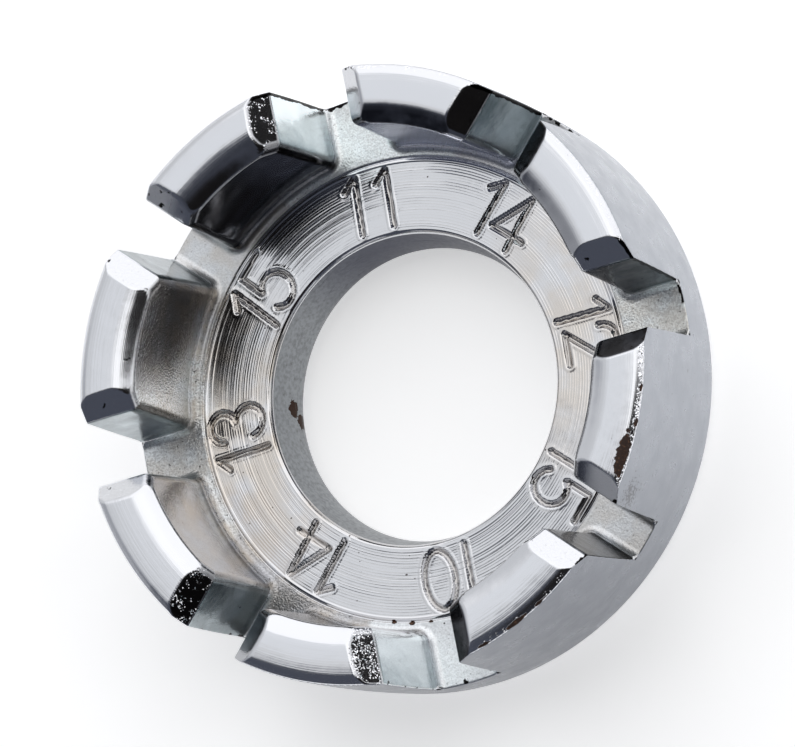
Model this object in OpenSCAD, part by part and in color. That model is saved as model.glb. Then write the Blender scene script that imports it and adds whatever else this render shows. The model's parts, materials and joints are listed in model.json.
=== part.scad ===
// Round spoke wrench with eight open jaws, made as one steel forging.
// The back lies on z = 0 and the jaws open upwards, along +Z.
// A spoke lies across the face, so that its nipple is held in a jaw between two lugs.

/* [Ring] */
// Outer diameter across the crests of the lugs
outer_d = 52; // [46:0.5:60]
// How far the outer wall draws in from crest to back, on each side
wall_draw = 0.8; // [0.2:0.1:1.6]
// Radius of the outer edge of the back
back_edge_r = 1.8; // [0.5:0.1:3]
// Height of the turned face above the back
face_h = 6.4; // [5.5:0.1:9]

/* [Centre hole] */
// Diameter of the pierced land, the narrowest place of the hole
land_d = 25; // [18:0.5:27]
// Length of the pierced land
land_len = 1; // [0.6:0.1:2]
// Radius of the edge between the land and the back
hole_back_r = 2.2; // [0.5:0.1:2.6]
// How far the hole opens from the land to the face, on each side
hole_draft = 0.75; // [0.2:0.05:1.2]
// Bevel between the hole and the turned face
mouth_bevel = 0.25; // [0.1:0.05:0.5]

/* [Turned face] */
// Distance from the line around the turned face to the foot of the lugs
groove_gap = 0.25; // [0.2:0.05:1]
// Width of that line
groove_w = 0.3; // [0.1:0.05:0.38]
// Depth of that line
groove_depth = 0.15; // [0.05:0.05:0.3]

/* [Lugs] */
// Height of the crests above the turned face
lug_h = 11; // [8:0.1:13]
// Thickness of a lug along the radius, at its foot
lug_t = 5.25; // [4:0.05:6]
// How far a lug's inner wall leans outwards on its way up
lug_lean = 0.25; // [0:0.05:0.6]
// Radius of the fillet at the foot of the inner wall
foot_r = 0.8; // [0.3:0.1:1.2]
// Width of the rounded shoulder inside the crest
shoulder_w = 2; // [1:0.1:2.5]
// How far the shoulder drops
shoulder_drop = 0.8; // [0.3:0.1:0.9]
// Width of the bevel on the crest's outer edge
bevel_w = 0.6; // [0.2:0.05:0.8]
// Height of that bevel
bevel_h = 0.35; // [0.1:0.05:0.8]
// Radius of a lug's two upright inner corners
corner_r = 0.8; // [0.4:0.1:1.2]

/* [Jaws] */
// Width between the walls of the 10 gauge jaw
jaw_10g = 6; // [5.4:0.05:6.4]
// Width between the walls of the 11 gauge jaw
jaw_11g = 5.8; // [4.8:0.05:6]
// Width between the walls of the 12 gauge jaw
jaw_12g = 4.9; // [4.2:0.05:5.4]
// Width between the walls of the 13 gauge jaw
jaw_13g = 4.5; // [3.7:0.05:5]
// Width between the walls of the two 14 gauge jaws
jaw_14g = 4.1; // [3.4:0.05:4.6]
// Width between the walls of the two 15 gauge jaws
jaw_15g = 3.8; // [3.2:0.05:4.2]
// Radius of the fillet along each side of a jaw's floor
floor_r = 0.8; // [0.3:0.05:1.2]
// How far a jaw's wall leans away on its way up
jaw_draft = 0.5; // [0.1:0.05:0.8]
// Width of the lead-in slope at the mouth of a jaw, on each side
lead_w = 1.9; // [0.8:0.05:2.2]
// Height of the lead-in slope
lead_h = 1.45; // [0.8:0.05:2.5]

/* [Hidden] */

// Jaws in the order in which they stand, anticlockwise from +X
jaws = [jaw_12g, jaw_14g, jaw_11g, jaw_15g, jaw_13g, jaw_14g, jaw_10g, jaw_15g];
jaw_step = 360 / len(jaws);

outer_r = outer_d / 2;
land_r = land_d / 2;
mouth_r = land_r + hole_draft;
crest_z = face_h + lug_h;
lug_foot_r = outer_r - lug_t;
lug_top_r = lug_foot_r + lug_lean;
groove_r = lug_foot_r - foot_r - groove_gap;
shoulder_r = (shoulder_w ^ 2 + shoulder_drop ^ 2) / (2 * shoulder_drop);
shoulder_turn = 2 * atan(shoulder_drop / shoulder_w);

// Steps in a wall's curve and in a rounded edge
wall_steps = 8;
edge_steps = 5;
// How far a cutter runs past the metal
clear = 1;
$fn = 120;

// Radius of the outer wall at height z: it draws in along a parabola, like a shallow bowl
function wall_r(z) = outer_r - wall_draw * ((crest_z - z) / crest_z) ^ 2;

// Points of an arc about (x, y), from angle a to angle b
function arc(x, y, r, a, b) =
    [for (i = [0:edge_steps]) let (t = a + (b - a) * i / edge_steps) [x + r * cos(t), y + r * sin(t)]];

// Half section through the ring and a lug, as [radius, height]
section = concat(
    arc(land_r + hole_back_r, hole_back_r, hole_back_r, 270, 180),
    [[land_r, hole_back_r + land_len], [mouth_r, face_h - mouth_bevel], [mouth_r + mouth_bevel, face_h]],
    [[groove_r - groove_w / 2, face_h], [groove_r, face_h - groove_depth], [groove_r + groove_w / 2, face_h]],
    arc(lug_foot_r - foot_r, face_h + foot_r, foot_r, 270, 360),
    arc(lug_top_r + shoulder_w, crest_z - shoulder_r, shoulder_r, 90 + shoulder_turn, 90),
    [[outer_r - bevel_w, crest_z]],
    [for (i = [0:wall_steps])
        let (z = crest_z - bevel_h + (back_edge_r - crest_z + bevel_h) * i / wall_steps) [wall_r(z), z]],
    arc(wall_r(back_edge_r) - back_edge_r, back_edge_r, back_edge_r, 0, -90)
);

// Cross-section of a jaw, as [across, height above the face]: round-cornered floor, walls, lead-in slopes
function jaw_side(half) = concat(
    arc(half - floor_r, floor_r, floor_r, 270, 360),
    [[half + jaw_draft, lug_h - lead_h], [half + jaw_draft + lead_w * (1 + clear / lead_h), lug_h + clear]]
);

module jaw_cut(width) {
    side = jaw_side(width / 2);
    other = [for (i = [len(side) - 1:-1:0]) [-side[i][0], side[i][1]]];
    translate([groove_r - clear, 0, face_h])
        rotate([90, 0, 90])
            linear_extrude(outer_r - groove_r + 2 * clear)
                polygon(concat(side, other));
}

// Rounds off one upright inner corner of a lug, beside the wall at +width / 2
module corner_cut(width) {
    lean = atan(jaw_draft / (lug_h - lead_h - floor_r));
    across = width / 2 - floor_r * sin(lean);
    along = sqrt(lug_foot_r ^ 2 - (across + corner_r) ^ 2);
    translate([along, across, face_h])
        rotate([-lean, 0, 0])
            linear_extrude(lug_h + clear)
                difference() {
                    translate([-clear, -clear])
                        square(corner_r + clear);
                    translate([corner_r, corner_r])
                        circle(corner_r);
                }
}

module wrench_ring() {
    color("gainsboro")
        difference() {
            rotate_extrude()
                polygon(section);
            for (i = [0:len(jaws) - 1])
                rotate(jaw_step * i) {
                    jaw_cut(jaws[i]);
                    corner_cut(jaws[i]);
                    mirror([0, 1, 0])
                        corner_cut(jaws[i]);
                }
        }
}

wrench_ring();
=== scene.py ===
# %% [markdown]
# # A round spoke wrench in chromed steel
#
# The real tool is one drop forging: a ring with a crown of eight lugs on it. The gaps between the lugs are
# the jaws, each as wide as the flats of one gauge of spoke nipple. After forging, the inside of the ring was
# faced on a lathe, the gauge numbers were stamped into that face, and the whole thing was polished and
# chrome plated. This notebook starts from the measured model of the tool, which fixes every size, and then
# works out the plated surface on top of it.

import json
import math

import bpy
import numpy as np
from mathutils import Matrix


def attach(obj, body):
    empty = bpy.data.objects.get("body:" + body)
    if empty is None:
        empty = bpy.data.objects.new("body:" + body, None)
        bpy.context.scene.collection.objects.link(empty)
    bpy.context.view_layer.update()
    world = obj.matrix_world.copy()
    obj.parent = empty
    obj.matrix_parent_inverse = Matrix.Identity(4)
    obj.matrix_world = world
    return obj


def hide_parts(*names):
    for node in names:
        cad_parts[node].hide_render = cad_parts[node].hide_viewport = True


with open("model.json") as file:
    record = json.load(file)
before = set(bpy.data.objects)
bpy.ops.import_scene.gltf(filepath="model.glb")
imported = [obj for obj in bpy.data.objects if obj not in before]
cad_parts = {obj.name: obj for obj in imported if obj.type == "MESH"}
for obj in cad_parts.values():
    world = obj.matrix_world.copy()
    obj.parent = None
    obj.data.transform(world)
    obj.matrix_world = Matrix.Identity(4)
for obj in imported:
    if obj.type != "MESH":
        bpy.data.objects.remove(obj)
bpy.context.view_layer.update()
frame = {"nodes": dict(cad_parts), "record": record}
scene = bpy.context.scene
scene.view_settings.view_transform = "Standard"

MM = 0.001
cad_ring = frame["nodes"]["wrench_ring"]
mounts = {m["name"]: m for m in frame["record"]["mounts"]}

# %% [markdown]
# ## The sizes that everything follows
#
# All lengths in this notebook are in millimetres and are turned into metres once, when a mesh is made. The
# sizes that place everything else are read from the measured model: how far the crests reach out, how high
# they stand, where the turned face lies, and the narrow land of the hole. The others are the tool's own small
# dimensions. The lugs were ground one by one, so three of them differ a little from the rest.

# %% Sizes
points = np.zeros(len(cad_ring.data.vertices) * 3, np.float32)
cad_ring.data.vertices.foreach_get("co", points)
points = points.reshape(-1, 3).astype(float) / MM
CREST_Z = points[:, 2].max()
OUTER_R = np.hypot(points[:, 0], points[:, 1]).max()
FACE_Z = mounts["jaw_12g"]["pos_m"][2] / MM
LAND_R = mounts["hang_hole"]["dims"]["r_mm"]
LAND_MID = mounts["hang_hole"]["pos_m"][2] / MM
LAND_LEN = mounts["hang_hole"]["dims"]["length_mm"]

WALL_DRAW = 0.8
BACK_EDGE_R = 1.8
HOLE_BACK_R = 2.2
HOLE_DRAFT = 0.75
MOUTH_BEVEL = 0.25
LUG_H = CREST_Z - FACE_Z
LUG_T = 5.25
LUG_LEAN = 0.25
FOOT_FILLET = 0.8
SHOULDER_W = 2.15
SHOULDER_DROP = 0.8
BEVEL_W = 0.6
BEVEL_H = 0.35
CORNER_R = 0.8
JAW_DRAFT = 0.5
LEAD_W = 1.9
LEAD_H = 1.45
RIM_LINE_GAP = 0.25
CREST_FALL = 0.055
# Jaws anticlockwise from +X, and the lugs from the one after the first jaw
JAW_WIDTHS = np.array([4.9, 4.1, 5.8, 3.8, 4.5, 4.1, 6.0, 3.8])
SHOULDER_WIDTHS = np.array([1, 1, 1.2, 1, 1, 1, 1, 1]) * SHOULDER_W
SHOULDER_DROPS = np.array([1, 1, 1, 1, 1, 1, 0.68, 1]) * SHOULDER_DROP
CREST_FALLS = np.array([1, 1, 1, 1, 1, 2.2, 1, 1]) * CREST_FALL

LUG_FOOT_R = OUTER_R - LUG_T
LUG_TOP_R = LUG_FOOT_R + LUG_LEAN
RIM_LINE_R = LUG_FOOT_R - FOOT_FILLET - RIM_LINE_GAP
JAW_STEP = 2 * math.pi / len(JAW_WIDTHS)
LEAD_Z = LUG_H - LEAD_H
INNER_H = LUG_H - SHOULDER_DROP
WALL_SLOPE = JAW_DRAFT / (LEAD_Z - FOOT_FILLET)
SHOULDER_R = (SHOULDER_W**2 + SHOULDER_DROP**2) / (2 * SHOULDER_DROP)
print("crest", round(CREST_Z, 2), "outer radius", round(OUTER_R, 2), "face", round(FACE_Z, 2))

# %% [markdown]
# ## The camera
#
# The photograph was taken from about 63 degrees above the bench with a long lens, from the side between the
# 12 and the 15 gauge jaws. The camera stands 0.7 m away. It is built from its three axes: where it looks
# from, what it calls right, and what it calls up. The last two are rolled by 15.8 degrees, because the tool
# was not square to the picture.

# %% Camera
CAMERA_AZIMUTH = math.radians(-29.6)
CAMERA_TILT = math.radians(26.49)
CAMERA_ROLL = math.radians(15.83)
CAMERA_DISTANCE = 700.7
SENSOR_WIDTH = 36.0
NEAREST_SEEN = 50
# Width of what the picture shows at the tool, and how far its middle lies from the middle of the face
FRAME_WIDTH = 66.85
AIM_LEFT, AIM_UP = 1.225, 1.269


def place_camera():
    """Camera at CAMERA_DISTANCE along the viewing axis from a point beside the middle of the turned face."""
    across = np.array([math.cos(CAMERA_AZIMUTH), math.sin(CAMERA_AZIMUTH), 0])
    side = np.array([-math.sin(CAMERA_AZIMUTH), math.cos(CAMERA_AZIMUTH), 0])
    up_z = np.array([0, 0, 1.0])
    lean = math.cos(CAMERA_TILT) * across - math.sin(CAMERA_TILT) * up_z
    right = math.cos(CAMERA_ROLL) * lean + math.sin(CAMERA_ROLL) * side
    up = -math.sin(CAMERA_ROLL) * lean + math.cos(CAMERA_ROLL) * side
    back = math.sin(CAMERA_TILT) * across + math.cos(CAMERA_TILT) * up_z
    aim = np.array([0, 0, FACE_Z]) - AIM_LEFT * right + AIM_UP * up
    data = bpy.data.cameras.new("photo_view")
    data.sensor_width = SENSOR_WIDTH
    data.lens = SENSOR_WIDTH * CAMERA_DISTANCE / FRAME_WIDTH
    data.clip_start = NEAREST_SEEN * MM
    camera = bpy.data.objects.new("photo_view", data)
    pose = np.eye(4)
    pose[:3, :3] = np.array([right, up, back]).T
    pose[:3, 3] = (aim + CAMERA_DISTANCE * back) * MM
    camera.matrix_world = pose.T.tolist()
    scene.collection.objects.link(camera)
    scene.camera = camera
    return camera


camera = place_camera()
print("camera at", [round(v, 3) for v in camera.matrix_world.translation], "lens", round(camera.data.lens, 1))

# %% [markdown]
# ## Rounded edges from distances
#
# A forging has no sharp edge, and polishing and plating round it a little more. Two ways to get that are a
# bevel modifier, which struggles where many edges meet, and a formula. Here the metal is described by one
# function that is negative inside the metal, positive outside, and counts millimetres near the surface. Two
# such functions join with a rounded edge: the formulas below put a true arc between them.

# %% Rounded joins
def round_and(a, b, r):
    """What lies inside both a and b. The edge is an arc of radius r: the length of (a + r, b + r), less r."""
    return np.minimum(np.maximum(a, b), -r) + np.hypot(np.maximum(a + r, 0), np.maximum(b + r, 0))


def round_or(a, b, r):
    """What lies inside a or b. The corner is a fillet of radius r: r less the length of (r - a, r - b)."""
    return np.maximum(np.minimum(a, b), r) - np.hypot(np.maximum(r - a, 0), np.maximum(r - b, 0))


def wall_r(z):
    """Radius of the outer wall: it draws in below the crest with the square of the depth, like a bowl."""
    return OUTER_R - WALL_DRAW * ((CREST_Z - z) / CREST_Z) ** 2


# %% [markdown]
# ## The gauge numbers
#
# The numbers were struck with a single-line punch. Each digit is a few strokes: straight lines, and arcs of
# an ellipse worked out from their centre, radii and angles. The mark is a trough along the strokes, with a
# small lip that the punch pushed up on both sides. Engraving it as real relief, and not as a bump map, puts
# it in the mesh itself. The numbers stand with their feet towards the hole and read clockwise.

# %% Strokes of the digits
# The trough of a stroke: half width and depth. The lip beside it: height, width, and how far out it stands
STROKE_HALF = 0.36
STROKE_DEPTH = 0.24
LIP_H = 0.022
LIP_W = 0.16
LIP_OUT = 0.06
# Radius where the digits stand, and the one about which a number leans
DIGIT_FOOT_R = 14.05
DIGIT_MID_R = 16.5


def arc(cx, cy, rx, ry, start, end, steps=14):
    """Points of an ellipse about (cx, cy), from the angle start to the angle end, in degrees."""
    t = np.radians(np.linspace(start, end, steps + 1))
    return np.column_stack([cx + rx * np.cos(t), cy + ry * np.sin(t)])


# Strokes of each digit, from its foot up, in mm
DIGITS = {
    "0": [arc(1.45, 2.45, 1.42, 2.5, 0, 360, 28)],
    "1": [np.array([[-1.05, 3.85], [0, 4.85], [0, 0]])],
    "2": [np.vstack([arc(1.25, 3.75, 1.25, 1.3, 185, -35), [[0, 0.5], [2.65, 0.42]]])],
    "3": [arc(1.35, 3.8, 1.3, 1.25, 175, -80), arc(1.3, 1.3, 1.35, 1.3, 75, -175)],
    "4": [np.array([[2.1, 4.85], [0, 1.2], [3.2, 1.3]]), np.array([[2.1, 4.85], [2.25, 0]])],
    "5": [np.vstack([[[2.6, 5.0], [0.1, 5.0], [0.1, 2.7]], arc(1.22, 1.55, 1.45, 1.6, 138, -150)])],
}
# Jaw that each number stands at, its two digits, where each digit starts, and how many degrees it leans
NUMBERS = [
    (0, "12", (-1.87, -0.68), 1.0),
    (1, "14", (-1.90, -1.07), 0.5),
    (2, "11", (-1.66, 1.32), 2.0),
    (3, "15", (-1.60, -0.30), 3.5),
    (4, "13", (-1.25, 0.0), -1.5),
    (5, "14", (-1.65, -0.70), -1.0),
    (6, "10", (-1.88, -0.60), 0.5),
    (7, "15", (-1.93, -0.60), -0.5),
]


def stroke_lines(digits, starts):
    """All straight pieces of a number as an array of start and end points, in its own flat frame."""
    lines = [
        np.column_stack([s[:-1], s[1:]]) + [start, DIGIT_FOOT_R] * 2
        for digit, start in zip(digits, starts)
        for s in DIGITS[digit]
    ]
    return np.vstack(lines)


def line_distance(u, v, lines):
    """Distance from each point (u, v) to the nearest straight piece.

    t is where the perpendicular meets the piece, as a share of its length, kept between its two ends.
    """
    x0, y0, x1, y1 = lines.T
    dx, dy = x1 - x0, y1 - y0
    t = ((u[:, None] - x0) * dx + (v[:, None] - y0) * dy) / (dx**2 + dy**2)
    t = np.clip(t, 0, 1)
    return np.hypot(u[:, None] - x0 - t * dx, v[:, None] - y0 - t * dy).min(1)


def struck_depth(d):
    """Height of the face at distance d from a stroke: a squared cosine down, and a lip beside it."""
    trough = STROKE_DEPTH * np.cos(np.minimum(d / STROKE_HALF, 1) * math.pi / 2) ** 2
    return LIP_H * np.exp(-(((d - STROKE_HALF - LIP_OUT) / LIP_W) ** 2)) - trough


def number_relief(x, y):
    """Height of the marks over the plane of the turned face, for points (x, y) on it."""
    height = np.zeros_like(x)
    r, turn = np.hypot(x, y), np.arctan2(y, x)
    on_face = (r > DIGIT_FOOT_R - 1) & (r < LUG_FOOT_R)
    for jaw, digits, starts, lean in NUMBERS:
        beside = jaw * JAW_STEP - turn
        near = on_face & (np.cos(beside) > math.cos(JAW_STEP / 2))
        u, v = r[near] * np.sin(beside[near]), r[near] * np.cos(beside[near])
        u = u - (v - DIGIT_MID_R) * math.tan(math.radians(lean))
        height[near] = struck_depth(line_distance(u, v, stroke_lines(digits, starts)))
    return height


print("strokes in all:", sum(len(stroke_lines(n[1], n[2])) for n in NUMBERS))

# %% [markdown]
# ## The metal as one function
#
# The half section of the tool is the same all round, so most terms need only the radius and the height. The
# jaws need the distance across the nearest jaw. A point is inside a lug if it is outside the jaw's two walls
# and its two lead-in slopes, behind the lug's inner wall, and under the crest with its rounded shoulder and
# its bevel. Lugs and ring are joined by a fillet, then cut to the bowl-shaped outer wall, the back and the
# drafted hole.

# %% The metal
# Radii of the edges: between ground and forged faces, over and under the hole's cone, round its mouth
EDGE = 0.14
LAND_EDGE = 0.3
MOUTH_EDGE = 0.1
FACE_EDGE = 0.05
# The crest falls over this width inside the bevel, and at most this many widths further
FALL_W = 1.7
FALL_MOST = 1.4
# The turned line: depth and width of the groove, then height, place inwards and width of its lip
LINE_DEPTH, LINE_W = 0.12, 0.1
LINE_LIP_H, LINE_LIP_IN, LINE_LIP_W = 0.04, 0.27, 0.09
LAND_TOP = LAND_MID + LAND_LEN / 2


def lug_top(r, z, width, drop, fall):
    """Signed distance to the top of a lug: the arc of the shoulder, the crest, and the outer bevel.

    Grinding took a little more off the outer part of the crest, with the square of the way out.
    """
    z = z + fall * np.clip((r - OUTER_R + BEVEL_W) / FALL_W + 1, 0, FALL_MOST) ** 2
    arc_r = (width**2 + drop**2) / (2 * drop)
    centre_r, centre_z = LUG_TOP_R + width, CREST_Z - arc_r
    crest = np.hypot(np.minimum(r - centre_r, 0), np.maximum(z - centre_z, 0)) - arc_r
    size = math.hypot(BEVEL_W, BEVEL_H)
    bevel = ((r - OUTER_R + BEVEL_W) * BEVEL_H + (z - CREST_Z) * BEVEL_W) / size
    return round_and(crest, bevel, EDGE)


def jaw_walls(across, h, half):
    """Signed distance to the steel beside a jaw: beyond its leaning wall and beyond its lead-in slope."""
    wall = (half + WALL_SLOPE * (h - FOOT_FILLET) - across) / math.hypot(1, WALL_SLOPE)
    lead = (half + JAW_DRAFT + (h - LEAD_Z) * LEAD_W / LEAD_H - across) / math.hypot(1, LEAD_W / LEAD_H)
    return round_and(wall, lead, EDGE)


def hole_wall(r, z):
    """Signed distance to the wall of the hole: the pierced land, the drafted cone above it, and the mouth.

    Over the face it goes straight up, or the cones would cut the lugs.
    """
    z = np.minimum(z, FACE_Z)
    draft_h = FACE_Z - MOUTH_BEVEL - LAND_TOP
    cone = (LAND_R + HOLE_DRAFT * (z - LAND_TOP) / draft_h - r) / math.hypot(1, HOLE_DRAFT / draft_h)
    mouth = (LAND_R + HOLE_DRAFT + z - FACE_Z + MOUTH_BEVEL - r) / math.sqrt(2)
    return round_and(round_and(LAND_R - r, cone, LAND_EDGE), mouth, MOUTH_EDGE)


def rim_line(r):
    """Height of the fine turned line round the face: a groove, and the lip that its chip left inside it.

    Both are bell curves of the radius.
    """
    groove = LINE_DEPTH * np.exp(-(((r - RIM_LINE_R) / LINE_W) ** 2))
    return LINE_LIP_H * np.exp(-(((r - RIM_LINE_R + LINE_LIP_IN) / LINE_LIP_W) ** 2)) - groove


def metal(p):
    """Signed distance to the plated surface at the points p, in mm: negative inside the steel."""
    x, y, z = p.T
    r, turn = np.hypot(x, y), np.arctan2(y, x)
    nearest = np.round(turn / JAW_STEP)
    half = JAW_WIDTHS[nearest.astype(int) % len(JAW_WIDTHS)] / 2
    across = r * np.abs(np.sin(turn - nearest * JAW_STEP))
    h = z - FACE_Z
    inner = LUG_FOOT_R + LUG_LEAN * h / INNER_H - r
    lug = round_and(inner, jaw_walls(across, h, half), CORNER_R)
    which = np.floor(turn / JAW_STEP).astype(int) % len(JAW_WIDTHS)
    top = lug_top(r, z, SHOULDER_WIDTHS[which], SHOULDER_DROPS[which], CREST_FALLS[which])
    lug = round_and(lug, top, EDGE)
    face = h - number_relief(x, y) - rim_line(r)
    crown = round_or(face, lug, FOOT_FILLET)
    outside = round_and(r - wall_r(z), -z, BACK_EDGE_R)
    hole = round_and(hole_wall(r, z), -z, HOLE_BACK_R)
    return round_and(round_and(crown, outside, EDGE), hole, FACE_EDGE)


def slope_of(p, step=0.004):
    """Direction in which metal() grows fastest, from differences along the three axes."""
    shifts = np.eye(3) * step
    return np.column_stack([(metal(p + s) - metal(p - s)) / (2 * step) for s in shifts])


def onto_surface(p, rounds=5, least=0.05):
    """Moves points onto the surface: each round steps by the distance along the slope (Newton's rule).

    The squared slope is taken as at least a small number, or a point in a crease would fly off.
    """
    for _ in range(rounds):
        g = slope_of(p)
        p = p - g * (metal(p) / np.maximum((g * g).sum(1), least))[:, None]
    return p


# %% [markdown]
# ## Three grids
#
# One even grid would waste its points on plain walls. The surface is laid out in three grids instead, each
# a path along the section times a turn round the axis. The crown's columns run along the jaws and crowd
# round their walls and slopes. The face has many even columns, so that the strokes of the numbers are
# crisp. The base, which is plain, has few. Each grid starts as the sharp form of the tool, and then every
# point is moved onto the rounded surface.

# %% Columns of the crown
def near_edge(offsets, span, reach):
    """Offsets from an edge, drawn in alike where the span is too short for them."""
    return np.outer(offsets, np.minimum(1, span / reach))


# The first columns, from the middle of a jaw outwards, are placed by their share of the jaw's half width
FLOOR_SHARES = np.array([0, 0.25, 0.48])


def half_jaw_columns():
    """From the middle of a jaw to the middle of a lug, as four numbers a column, of which one or two count.

    floor: how far short of the wall's foot, wall: height on the wall, lead: share of the lead-in slope, and
    crest: share of the way from the slope to the middle of the lug. The columns of FLOOR_SHARES have zeros.
    """
    floor = np.array([-0.85, -0.6, -0.4, -0.2])
    wall = np.array([0, 0.12, 0.28, 0.45, 0.65, 0.9, 1.6, 2.8, 4.2, 5.6, 7, 8.1, 8.9, 9.25, 9.4, 9.5, LEAD_Z])
    lead = np.array([0.03, 0.08, 0.16, 0.3, 0.45, 0.6, 0.74, 0.86, 0.94, 1.0])
    crest = np.array([0.02, 0.05, 0.1, 0.18, 0.28, 0.39, 0.5, 0.61, 0.72, 0.86, 1.0])
    parts = [floor, wall, lead, crest]
    full = [0, LEAD_Z, 1, 1]
    at = len(FLOOR_SHARES)
    table = np.zeros((4, at + sum(map(len, parts))))
    for k, part in enumerate(parts):
        table[k, at:] = full[k]
        table[k, at:at + len(part)] = part
        at += len(part)
    return table


short, wall_h, lead_share, crest_share = half_jaw_columns()
print("columns from jaw to lug:", len(short))

# %% Path of the crown
CROWN_START_R = RIM_LINE_R + 0.17
CROWN_END_Z = 5.6


def top_height(r):
    """Height of the lug's top above the face at radius r, with its shoulder and its bevel."""
    arc_top = np.sqrt(np.maximum(SHOULDER_R**2 - np.minimum(r - LUG_TOP_R - SHOULDER_W, 0) ** 2, 0))
    return LUG_H - SHOULDER_R + arc_top - BEVEL_H * np.clip((r - OUTER_R + BEVEL_W) / BEVEL_W, 0, 1)


def cut_height(r, wall, lead):
    """Height at which a column cuts the lug: on the wall, or at its share of the slope up to the top."""
    return wall + lead * (top_height(r) - LEAD_Z)


def crown_path(wall, lead):
    """Radius, height above the face, and height of the cut, on the path over the crown, for each column.

    The path runs out over the face, up the lug's inner wall, across its top, and down the outer wall.
    """
    one = np.ones_like(wall)
    foot_r = LUG_FOOT_R - np.array([0.79, 0.65, 0.5, 0.35, 0.2, 0.09, 0])
    foot_r = np.outer(np.append(CROWN_START_R, foot_r), one)
    rise = cut_height(LUG_TOP_R, wall, lead)
    low = near_edge([0.1, 0.22, 0.38, 0.58, 0.85], rise, 2.4)
    high = rise - near_edge([1.0, 0.7, 0.45, 0.25, 0.12, 0.04, 0], rise, 2.4)
    between = low[-1] + np.outer([0.2, 0.45, 0.7, 0.88], high[0] - low[-1])
    up = np.vstack([low, between, high])
    up_r = LUG_FOOT_R + LUG_LEAN * up / INNER_H
    out_h = cut_height(OUTER_R, wall, lead)
    out_r = wall_r(FACE_Z + out_h)
    inside = up_r[-1] + np.outer([0.05, 0.13, 0.25, 0.42, 0.65, 0.95, 1.35, 1.75, 2.1], one)
    outside = out_r - np.outer([0.85, 0.72, BEVEL_W, 0.48, 0.36, 0.24, 0.12, 0.04, 0], one)
    middle = inside[-1] + np.outer([0.3, 0.65], outside[0] - inside[-1])
    over_r = np.vstack([inside, middle, outside])
    over = cut_height(over_r, wall, lead)
    drop = out_h + FACE_Z - CROWN_END_Z
    below_edge = near_edge([0.05, 0.13, 0.25, 0.45], drop, 1.2)
    further = np.outer([0.2, 0.4, 0.6, 0.8, 0.92, 1], drop)
    down = out_h - np.sort(np.vstack([below_edge, further]), axis=0)
    radius = np.vstack([foot_r, up_r, over_r, wall_r(FACE_Z + down)])
    path_h = np.vstack([0 * foot_r, up, over, down])
    cut = np.vstack([0 * foot_r + rise, 0 * up + rise, over, 0 * down + out_h])
    return radius, path_h, cut


def crown_grid():
    """Points of the crown as rows along the path and columns round the axis: radius, angle and height.

    Across a jaw, a column keeps its distance from the middle. Over a lug it turns from that to the radius.
    """
    half = JAW_WIDTHS[:, None, None] / 2
    radius, path_h, cut = crown_path(wall_h, lead_share)
    past = WALL_SLOPE * (np.minimum(cut, LEAD_Z) - FOOT_FILLET)
    past = past + LEAD_W / LEAD_H * np.maximum(cut - LEAD_Z, 0)
    level = half + past + short
    level[:, :, :len(FLOOR_SHARES)] = half * FLOOR_SHARES
    lean = math.tan(JAW_STEP / 2) * crest_share
    level = level * (1 - crest_share)
    along = (np.sqrt(radius**2 * (1 + lean**2) - level**2) - level * lean) / (1 + lean**2)
    turn = np.arctan2(level + lean * along, along)
    turn = np.concatenate([-turn[:, :, -2:0:-1], turn], axis=2)
    turn = turn + JAW_STEP * np.arange(len(JAW_WIDTHS))[:, None, None]
    mirror = np.append(np.arange(len(short) - 2, 0, -1), np.arange(len(short)))
    radius = np.tile(radius[:, mirror], len(JAW_WIDTHS))
    z = np.tile(FACE_Z + path_h[:, mirror], len(JAW_WIDTHS))
    return radius, turn.transpose(1, 0, 2).reshape(z.shape), z


crown = crown_grid()
print("crown grid:", crown[0].shape)

# %% Grids of the face and the base
FACE_COLUMNS = 800
BASE_COLUMNS = 288


def even_grid(radius, z, columns):
    """A path (radius, z) turned round the axis in even columns, starting half a jaw before the first jaw."""
    turn = -JAW_STEP / 2 + 2 * math.pi * (np.arange(columns) + 1) / columns
    one = np.ones(columns)
    return np.outer(radius, one), np.outer(np.ones(len(radius)), turn), np.outer(z, one)


def face_grid():
    """From the wall of the hole over its bevelled mouth, and out over the turned face to the lugs."""
    mouth_r = LAND_R + HOLE_DRAFT
    bevel = np.array([0, 0.3, 0.5, 0.7, 1])
    wall_z = np.array([5.85, 6.0, 6.08])
    flat = np.linspace(mouth_r + MOUTH_BEVEL + 0.08, RIM_LINE_R - 0.46, 45)
    line = RIM_LINE_R + np.array([-0.37, -0.32, -0.27, -0.22, -0.16, -0.1, -0.05, 0, 0.05, 0.1, 0.14])
    radius = np.concatenate([0 * wall_z + mouth_r, mouth_r + MOUTH_BEVEL * bevel, flat, line])
    z = np.concatenate([wall_z, FACE_Z - MOUTH_BEVEL * (1 - bevel), 0 * flat + FACE_Z, 0 * line + FACE_Z])
    return even_grid(radius, z, FACE_COLUMNS)


def base_grid():
    """Down the outer wall, round the edge of the back, in over the back, and up the wall of the hole."""
    turn_in = np.array([1, 0.8, 0.6, 0.42, 0.26, 0.12, 0])
    down = np.concatenate([[5.3, 4.2, 3.1, 2.3], BACK_EDGE_R * turn_in])
    back_r = wall_r(0) - BACK_EDGE_R * turn_in[-2::-1]
    flat = np.linspace(back_r[-1], LAND_R + HOLE_BACK_R, 6)[1:-1]
    hole_r = LAND_R + HOLE_BACK_R * turn_in
    up = np.concatenate([HOLE_BACK_R * turn_in[-2::-1], [2.6, 3.0, LAND_TOP, 3.6, 4.6, 5.6]])
    radius = np.concatenate([wall_r(down), back_r, flat, hole_r, LAND_R + 0 * up])
    z = np.concatenate([down, 0 * back_r, 0 * flat, 0 * hole_r, up])
    return even_grid(radius, z, BASE_COLUMNS)


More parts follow.
